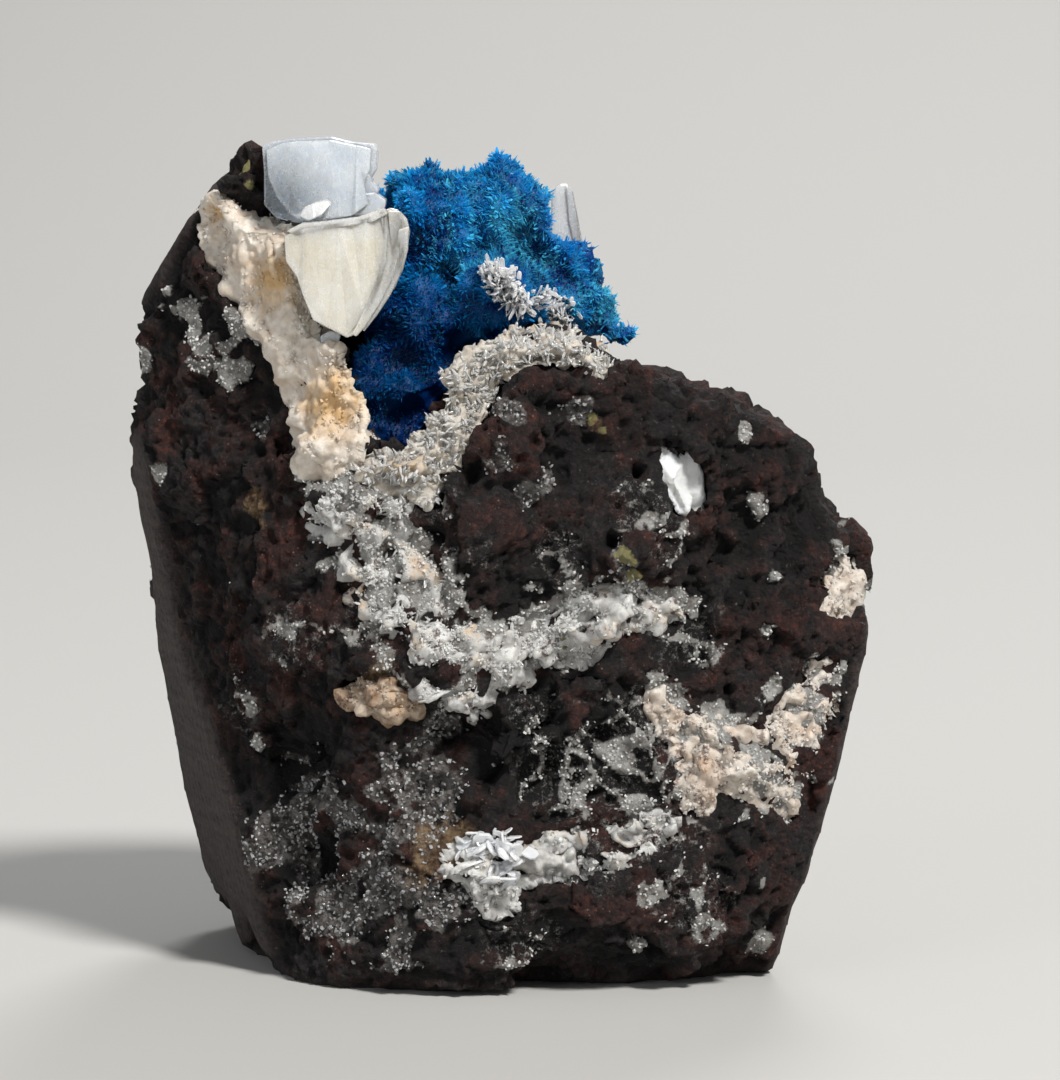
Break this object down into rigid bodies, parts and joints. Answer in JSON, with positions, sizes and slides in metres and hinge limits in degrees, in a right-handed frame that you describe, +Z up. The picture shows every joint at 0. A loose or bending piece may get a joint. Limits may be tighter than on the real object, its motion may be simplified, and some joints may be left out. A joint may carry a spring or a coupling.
{
  "type": "cavansite cluster",
  "caption": "Trimmed basalt block standing on a flat base, with ball-like blue cavansite rosettes and white stilbite crystals in a hollow at its top.",
  "frame": {"origin": "under the middle of the whole piece, on the surface that it stands on", "axes": "+Z up, +X to the right of a viewer who faces the front, +Y away from that viewer, towards the back"},
  "size_m": [0.0496, 0.034, 0.055],
  "materials": {
    "basalt": "matte",
    "cavansite": "satin",
    "stilbite": "satin",
    "cream_crust": "satin",
    "clear_druse": "gloss",
    "vein_zeolite": "satin",
    "brown_crust": "satin",
    "milk_zeolite": "satin"
  },
  "bodies": {
    "root": {"basalt_matrix": "basalt", "cavansite_rosettes": "cavansite", "stilbite_crystals": "stilbite", "stilbite_back_blade": "stilbite", "cream_band": "cream_crust", "rim_druse": "clear_druse", "front_vein": "vein_zeolite", "right_vein": "vein_zeolite", "lower_vein": "vein_zeolite", "brown_lump": "brown_crust", "white_amygdule": "milk_zeolite", "edge_amygdule": "milk_zeolite"}
  },
  "joints": []
}
